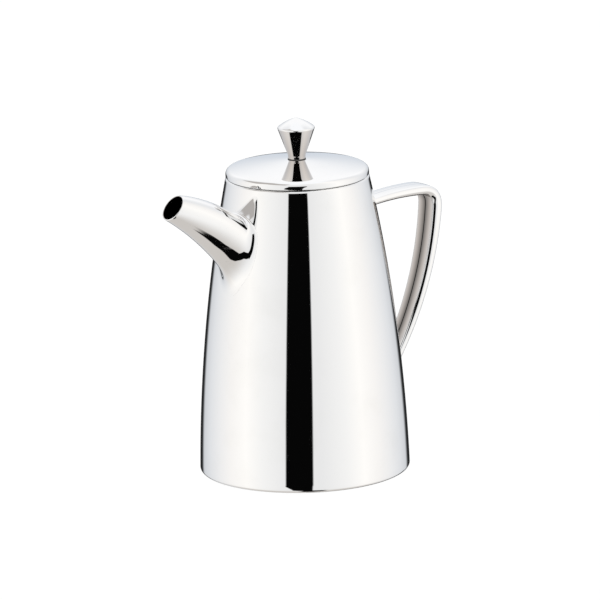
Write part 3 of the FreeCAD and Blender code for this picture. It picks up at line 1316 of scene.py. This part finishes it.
@dataclass(frozen=True)
class Surroundings:
    """Light tent that the steel mirrors, drawn by direction.

    Turn is the angle round from the camera's heading and rise the angle above level, both in degrees. A side, edge
    or foot gives where something begins to show and where it shows fully, and ends are two of these, the lower one
    first. A bend of the slit gives two rises and how far it moves or widens between them.
    """

    heading: float
    tent_stops: tuple[tuple[float, Colour], ...] = (
        (0.10, (0.87, 0.87, 0.87)), (0.26, (0.97, 0.965, 0.955)), (0.38, (1.08, 1.06, 1.03)),
        (0.5, (1.0, 0.98, 0.96)), (0.61, (0.9, 0.9, 0.905)), (0.72, (0.79, 0.805, 0.83)),
        (0.84, (0.63, 0.65, 0.68)), (1.0, (0.66, 0.71, 0.78)))
    back_side: Pair = (110.0, 152.0)
    back_foot: Pair = (-6.0, 34.0)
    back_tint: Colour = (1.04, 1.04, 1.05)
    ceiling_edge: Pair = (58.0, 72.0)
    ceiling_tint: Colour = (1.02, 1.03, 1.05)
    card_sides: Bend = ((-124.0, -114.0), (-20.0, -28.0))
    card_ends: Bend = ((44.0, 49.0), (76.0, 68.0))
    card_dip: Bend = ((-66.0, -78.0), (0.0, 11.0))
    card_tint: Colour = (0.5, 0.475, 0.455)
    table_edge: Pair = (-12.0, -66.0)
    table_tint: Colour = (0.63, 0.6, 0.57)
    strip_side: Pair = (146.0, 157.0)
    strip_ends: Bend = ((-36.0, -26.0), (-3.0, -8.0))
    nook_side: Pair = (138.0, 147.0)
    nook_ends: Bend = ((-62.0, -52.0), (-18.0, -24.0))
    strip_share: float = 0.98
    strip_tint: Colour = (0.01, 0.01, 0.01)
    slit_half: float = 15.0
    slit_edge: Pair = (1.0, -1.0)
    slit_moves: tuple[Bend, ...] = (
        ((-18.0, 9.0), (-8.4, 0.0)), ((-14.0, -18.0), (0.0, 5.0)), ((-20.0, -34.0), (0.0, 15.4)),
        ((-36.0, -48.0), (0.0, -3.5)), ((-50.0, -58.0), (0.0, 2.0)), ((20.0, 28.0), (0.0, -5.0)))
    slit_widenings: tuple[Bend, ...] = (
        ((20.0, 28.0), (0.0, 32.0)), ((-14.0, -18.0), (0.0, -4.0)), ((-20.0, -34.0), (0.0, 4.0)),
        ((-50.0, -58.0), (0.0, 8.0)))
    slit_top: Pair = (42.5, 39.5)
    slit_tint: Colour = (0.002, 0.002, 0.002)
    second_depth: Pair = (1.4, 1.6)
    second_ends: Bend = ((-20.0, -14.0), (14.0, 8.0))
    second_widening: float = 21.0
    second_lift: float = 21.0
    steep_foot: Pair = (-50.0, -44.0)
    steep_slope: float = 1.08
    steep_edge: Pair = (-0.012, 0.012)
    steep_line: Bend = ((0.2, 0.3), (0.15, 0.184))
    toe_edge: Pair = (0.19, 0.215)
    toe_line: Bend = ((-0.13, 0.05), (-0.216, 0.0))

    @staticmethod
    def between(graph: Graph, ends: Bend, value: Value) -> Value:
        """1 between two ends of a value and 0 beyond them."""
        return graph.ease(*ends[0], value) * graph.ease(*ends[1], value)

    def slit(self, graph: Graph, ahead: Value, aside: Value, turn: Value, rise: Value) -> Value:
        """Dark slit at the camera, wider and higher for light that the steel has mirrored twice.

        Args:
            graph: node tree of the world.
            ahead: share of the direction that points to the camera's heading.
            aside: share that points across it.
            turn: angle round from the heading.
            rise: angle above level.

        Returns:
            1 in the slit and 0 beside it.
        """
        depth = graph.node("ShaderNodeLightPath").outputs["Glossy Depth"]
        twice = graph.ease(*self.second_depth, Value(graph, depth))
        middle = sum(graph.scaled(rise, *bend) for bend in self.slit_moves)
        half = self.slit_half + sum(graph.scaled(rise, *bend) for bend in self.slit_widenings)
        half = half + twice * self.between(graph, self.second_ends, rise) * self.second_widening
        inside = graph.ease(*self.slit_edge, abs(turn - middle) - half)
        top = graph.ease(*self.slit_top, rise + (1 - twice) * self.second_lift)
        steep = ahead * self.steep_slope - aside - graph.scaled(ahead, *self.steep_line)
        toe = ahead + graph.scaled(aside, *self.toe_line)
        end = graph.ease(*self.steep_edge, steep) * graph.ease(*self.toe_edge, toe)
        return inside * top * end.maths("MAXIMUM", graph.ease(*self.steep_foot, rise))

    def make(self) -> None:
        """Builds the world: the tent, the cards in it, the slit, and white where the camera sees it."""
        world = bpy.data.worlds.new("light_tent")
        bpy.context.scene.world = world
        graph = Graph(world)
        ray = graph.node("ShaderNodeTexCoord").outputs["Generated"]
        parts = graph.node("ShaderNodeSeparateXYZ", None, {0: ray}).outputs
        east, north, up = (Value(graph, part) for part in parts)
        ahead = east * math.cos(self.heading) + north * math.sin(self.heading)
        aside = north * math.cos(self.heading) - east * math.sin(self.heading)
        turn = aside.maths("ARCTAN2", ahead) * math.degrees(1.0)
        rise = up.maths("ARCSINE") * math.degrees(1.0)
        off = abs(turn)
        card = (graph.ease(*self.card_ends[0], rise + graph.scaled(turn, *self.card_dip))
                * graph.ease(*self.card_ends[1], rise) * self.between(graph, self.card_sides, turn))
        strip = graph.ease(*self.strip_side, off) * self.between(graph, self.strip_ends, rise)
        nook = graph.ease(*self.nook_side, turn) * self.between(graph, self.nook_ends, rise)
        layers = (
            (graph.ease(*self.back_foot, rise) * graph.ease(*self.back_side, off), self.back_tint),
            (graph.ease(*self.ceiling_edge, rise), self.ceiling_tint),
            (card, self.card_tint),
            (graph.ease(*self.table_edge, rise), self.table_tint),
            (strip.maths("MAXIMUM", nook) * self.strip_share, self.strip_tint),
            (self.slit(graph, ahead, aside, turn, rise), self.slit_tint),
            (Value(graph, graph.node("ShaderNodeLightPath").outputs["Is Camera Ray"]), (1.0, 1.0, 1.0)))
        colour = graph.node("ShaderNodeValToRGB", {"stops": self.tent_stops}, {0: off / 180.0}).outputs[0]
        for mask, tint in layers:
            colour = graph.mix(mask, colour, tint)
        sky = graph.node("ShaderNodeBackground", None, {"Color": colour, "Strength": 1.0})
        graph.node("ShaderNodeOutputWorld", None, {"Surface": sky.outputs[0]})


@dataclass
class Studio:
    """Camera, pale floor and surroundings. Lengths in metres, angles in degrees."""

    azimuth: float = -37.0
    elevation: float = 14.0
    roll: float = -1.55
    distance: float = 4.0
    sensor: float = 36.0
    pixels_per_metre: float = 1893.0
    picture: float = 600.0
    aim: tuple[float, float, float] = (-0.00045, 0.0, 0.0908)
    floor_half: float = 6.0
    floor_gap: float = 0.00005
    floor_tints: tuple[Colour, Colour] = ((0.9, 0.9, 0.9), (0.93, 0.93, 0.93))
    floor_glow: float = 1.07
    glow_share: float = 0.86

    def toward_camera(self) -> Vector:
        """Unit direction from the pot to the camera."""
        around, up = math.radians(self.azimuth), math.radians(self.elevation)
        return Vector((math.sin(around) * math.cos(up), -math.cos(around) * math.cos(up), math.sin(up)))

    def make_camera(self) -> None:
        """Places a long-lens camera at the photograph's angle."""
        lens = bpy.data.cameras.new("long_lens")
        lens.sensor_width = self.sensor
        lens.lens = self.sensor * self.pixels_per_metre * self.distance / self.picture
        camera = bpy.data.objects.new("long_lens", lens)
        bpy.context.scene.collection.objects.link(camera)
        direction = self.toward_camera()
        camera.location = Vector(self.aim) + direction * self.distance
        turn = direction.to_track_quat("Z", "Y").to_matrix() @ Matrix.Rotation(math.radians(self.roll), 3, "Z")
        camera.rotation_euler = turn.to_euler()
        bpy.context.scene.camera = camera

    def make_floor(self) -> None:
        """Lays a white floor that keeps the pot's soft shadow and is clear from below."""
        half, level = self.floor_half / MM, -self.floor_gap / MM
        corners = [(-half, -half, level), (half, -half, level), (half, half, level), (-half, half, level)]
        floor = mesh_object("studio_floor", corners, [(0, 1, 2, 3)])
        made = bpy.data.materials.new("studio_floor_white")
        graph = Graph(made)
        place = graph.node("ShaderNodeTexCoord").outputs["Object"]
        tone = graph.mix(graph.noise(place, 3.0), *self.floor_tints)
        matt = graph.node("ShaderNodeBsdfPrincipled", None,
                          {"Base Color": tone, "Roughness": 0.9, "Specular IOR Level": 0.0})
        glow = graph.node("ShaderNodeEmission", None, {"Color": (1.0, 1.0, 1.0, 1.0), "Strength": self.floor_glow})
        seen = Value(graph, graph.node("ShaderNodeLightPath").outputs["Is Camera Ray"])
        white = graph.node("ShaderNodeMixShader", None,
                           {0: seen * self.glow_share, 1: matt.outputs[0], 2: glow.outputs[0]})
        below = graph.node("ShaderNodeNewGeometry").outputs["Backfacing"]
        clear = graph.node("ShaderNodeBsdfTransparent")
        shader = graph.node("ShaderNodeMixShader", None, {0: below, 1: white.outputs[0], 2: clear.outputs[0]})
        graph.node("ShaderNodeOutputMaterial", None, {"Surface": shader.outputs[0]})
        floor.data.materials.append(made)
        floor.visible_glossy = False

    def build(self) -> None:
        """Builds the camera, the floor and the surroundings."""
        self.make_camera()
        self.make_floor()
        heading = self.toward_camera()
        Surroundings(math.atan2(heading.y, heading.x)).make()
        bpy.context.scene.view_settings.view_transform = "Standard"


def main() -> None:
    """Builds the pot and its studio."""
    logging.basicConfig(level=logging.INFO, format="%(name)s: %(message)s")
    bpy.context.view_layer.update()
    finishes = Finishes()
    body = Body()
    makers: list[Callable[[Finishes], None]] = [body.build, Spout(body).build, Handle(body).build, Lid().build]
    for make in makers:
        make(finishes)
    Studio().build()


if __name__ == "__main__":
    main()
